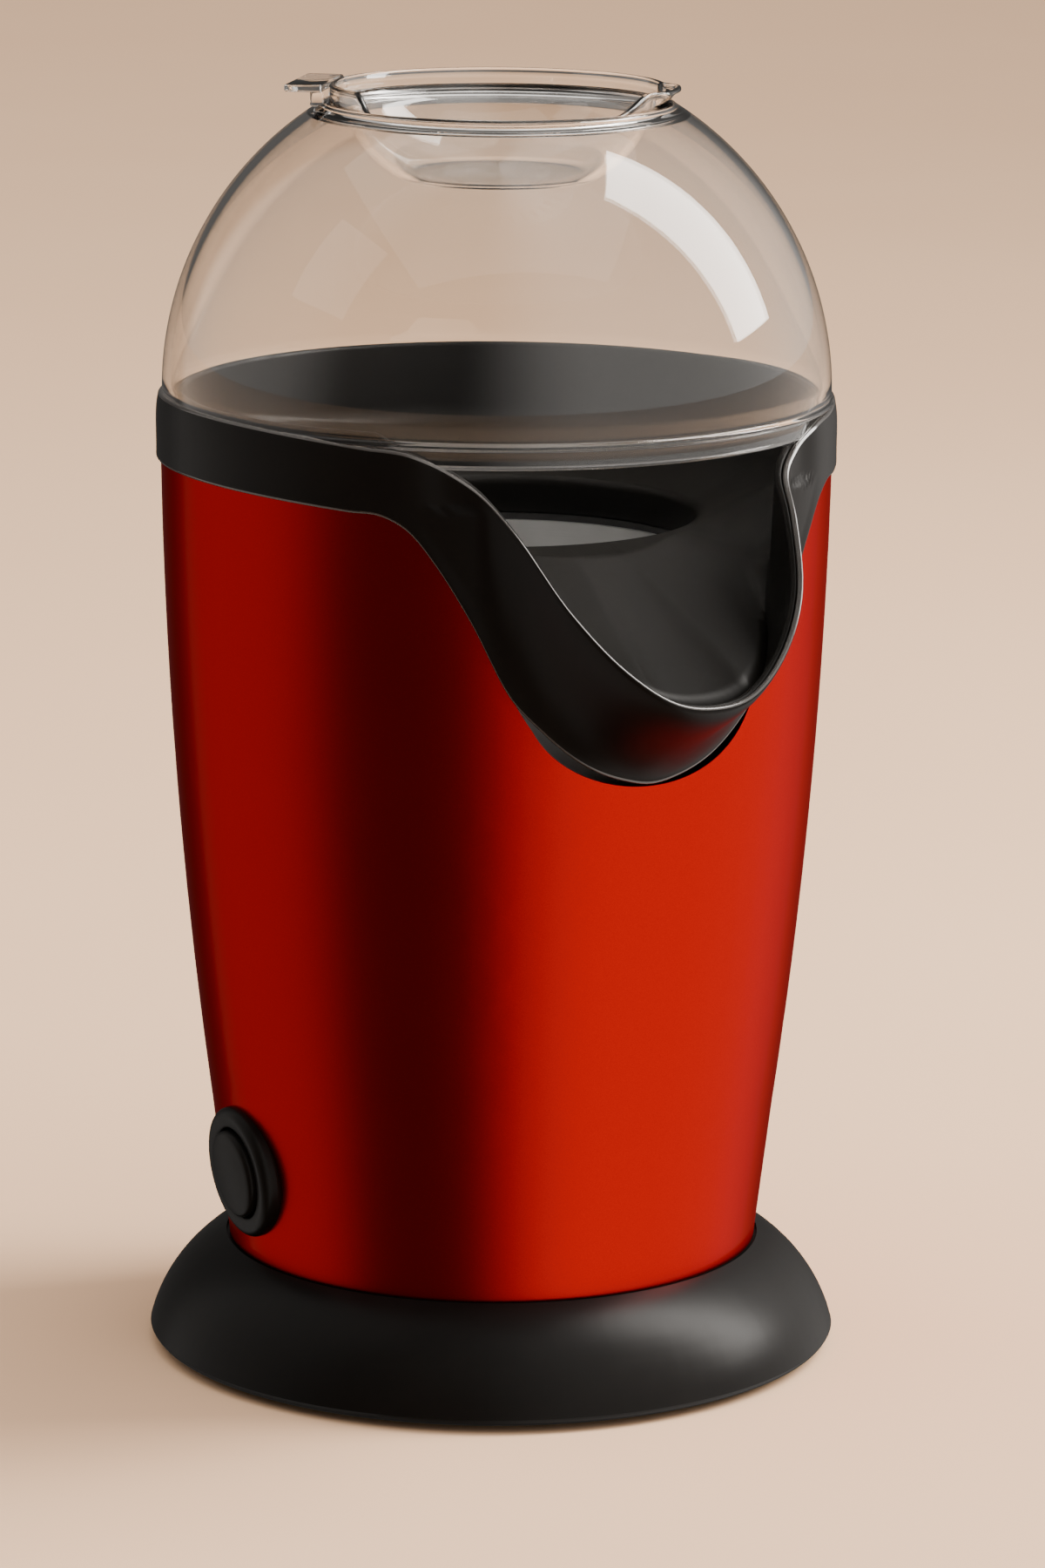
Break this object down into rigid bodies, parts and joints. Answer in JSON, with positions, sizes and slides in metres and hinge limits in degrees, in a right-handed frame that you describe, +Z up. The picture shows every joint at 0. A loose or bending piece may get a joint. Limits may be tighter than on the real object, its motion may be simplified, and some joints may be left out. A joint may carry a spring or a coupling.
{
  "type": "popcorn maker",
  "caption": "Hot-air popcorn maker: tapered body on a flared base, black collar with a pouring spout, clear dome lid with a measuring cup on top, round side switch.",
  "frame": {"origin": "on the body's vertical axis, in the plane of the surface it stands on (the undersides of the feet)", "axes": "+Z up along the body's axis, the spout points along -Y, the switch is on the -X side, the cord inlet on the +Y side"},
  "size_m": [0.1652, 0.1901, 0.3025],
  "materials": {
    "body_shell": "candy red metallic lacquer on a drawn metal tube",
    "top_collar": "satin black moulded plastic",
    "chute_liner": "satin black moulded plastic",
    "dome_lid": "clear moulded plastic",
    "measuring_cup": "clear moulded plastic",
    "base_shell": "satin black moulded plastic",
    "bottom_plate": "fine textured black plastic",
    "rubber_feet": "black rubber",
    "base_screws": "zinc plated steel",
    "cord_inlet_bush": "black rubber",
    "terminal_block": "natural white plastic",
    "switch_bezel": "black moulded plastic",
    "switch_button": "black moulded plastic",
    "switch_body": "black moulded plastic",
    "switch_terminals": "stamped brass",
    "popping_chamber": "drawn aluminium",
    "chamber_gasket": "red-brown silicone rubber",
    "chamber_screws": "zinc plated steel",
    "heater_tube": "plain rolled steel",
    "mica_frame": "mica board",
    "heater_coil": "heat-dulled resistance wire",
    "thermal_fuse": "plated metal case",
    "thermostat": "pressed aluminium case",
    "fan_housing": "heat resistant black plastic",
    "housing_screws": "zinc plated steel",
    "fan_impeller": "natural nylon",
    "impeller_nut": "zinc plated steel",
    "motor_shaft": "ground steel",
    "motor_can": "zinc plated deep-drawn steel",
    "motor_end_cap": "black plastic",
    "motor_bearings": "sintered bronze",
    "motor_magnets": "dark grey ferrite",
    "motor_armature": "laminated steel with lacquered windings",
    "motor_screws": "zinc plated steel",
    "rectifier_board": "brown phenolic board",
    "rectifier_diodes": "black epoxy",
    "motor_terminals": "stamped brass"
  },
  "bodies": {
    "housing": {"body_shell": "body_shell", "top_collar": "top_collar", "chute_liner": "chute_liner", "base_shell": "base_shell", "bottom_plate": "bottom_plate", "rubber_feet": "rubber_feet", "base_screws": "base_screws", "cord_inlet_bush": "cord_inlet_bush", "terminal_block": "terminal_block", "switch_bezel": "switch_bezel", "switch_body": "switch_body", "switch_terminals": "switch_terminals", "popping_chamber": "popping_chamber", "chamber_gasket": "chamber_gasket", "chamber_screws": "chamber_screws", "heater_tube": "heater_tube", "mica_frame": "mica_frame", "heater_coil": "heater_coil", "thermal_fuse": "thermal_fuse", "thermostat": "thermostat", "fan_housing": "fan_housing", "housing_screws": "housing_screws", "motor_can": "motor_can", "motor_end_cap": "motor_end_cap", "motor_bearings": "motor_bearings", "motor_magnets": "motor_magnets", "motor_screws": "motor_screws", "rectifier_board": "rectifier_board", "rectifier_diodes": "rectifier_diodes", "motor_terminals": "motor_terminals"},
    "dome": {"dome_lid": "dome_lid"},
    "cup": {"measuring_cup": "measuring_cup"},
    "button": {"switch_button": "switch_button"},
    "rotor": {"fan_impeller": "fan_impeller", "impeller_nut": "impeller_nut", "motor_shaft": "motor_shaft", "motor_armature": "motor_armature"}
  },
  "joints": [
    {"name": "dome_lift", "type": "slide", "parent": "housing", "child": "dome", "axis": [0, 0, 1], "range_m": [0, 0.06]},
    {"name": "cup_lift", "type": "slide", "parent": "dome", "child": "cup", "axis": [0, 0, 1], "range_m": [0, 0.04]},
    {"name": "switch_press", "type": "slide", "parent": "housing", "child": "button", "axis": [0.9928, 0, 0.1201], "range_m": [0, 0.0025], "stiffness_N_per_m": 800, "springref_m": -0.0005},
    {"name": "fan_spin", "type": "hinge", "parent": "housing", "child": "rotor", "pos_m": [0, 0, 0.05], "axis": [0, 0, 1], "continuous": true}
  ]
}
